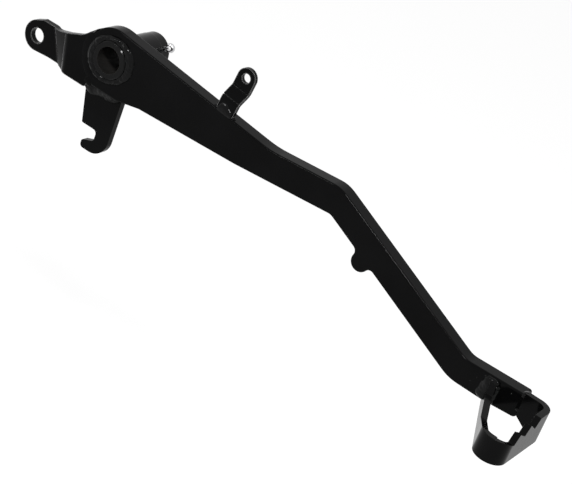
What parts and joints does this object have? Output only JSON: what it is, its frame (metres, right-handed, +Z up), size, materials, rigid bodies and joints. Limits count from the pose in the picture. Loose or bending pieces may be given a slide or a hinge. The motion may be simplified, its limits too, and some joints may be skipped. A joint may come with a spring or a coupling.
{
  "type": "brake pedal",
  "caption": "Motorcycle rear brake pedal: bent lever on a tube pivot, toothed loop foot pad, rod arm with eye, spring hook and switch bracket.",
  "frame": {"origin": "on the pivot axis, in the middle of the shaft's bearing length", "axes": "+X forward to the foot pad, +Y inboard along the pivot shaft, +Z up as fitted"},
  "size_m": [0.3533, 0.0851, 0.0895],
  "materials": {
    "black_paint": "gloss",
    "zinc_wire": "bright zinc plate"
  },
  "bodies": {
    "pedal": {"lever_plate": "black_paint", "pivot_shaft": "black_paint", "rod_arm": "black_paint", "spring_hook": "black_paint", "switch_bracket": "black_paint", "foot_pad": "black_paint", "shaft_weld_outer": "black_paint", "shaft_weld_inner": "black_paint", "arm_seam_weld": "black_paint", "arm_fillet_weld": "black_paint", "hook_weld": "black_paint", "bracket_weld": "black_paint", "pad_root_weld": "black_paint", "pad_leg_weld": "black_paint", "pad_tip_weld": "black_paint"},
    "split_pin": {"split_pin": "zinc_wire"}
  },
  "joints": [
    {"name": "split_pin_withdraw", "type": "slide", "parent": "pedal", "child": "split_pin", "axis": [0.829, 0, 0.5592], "range_m": [0, 0.0282]}
  ]
}
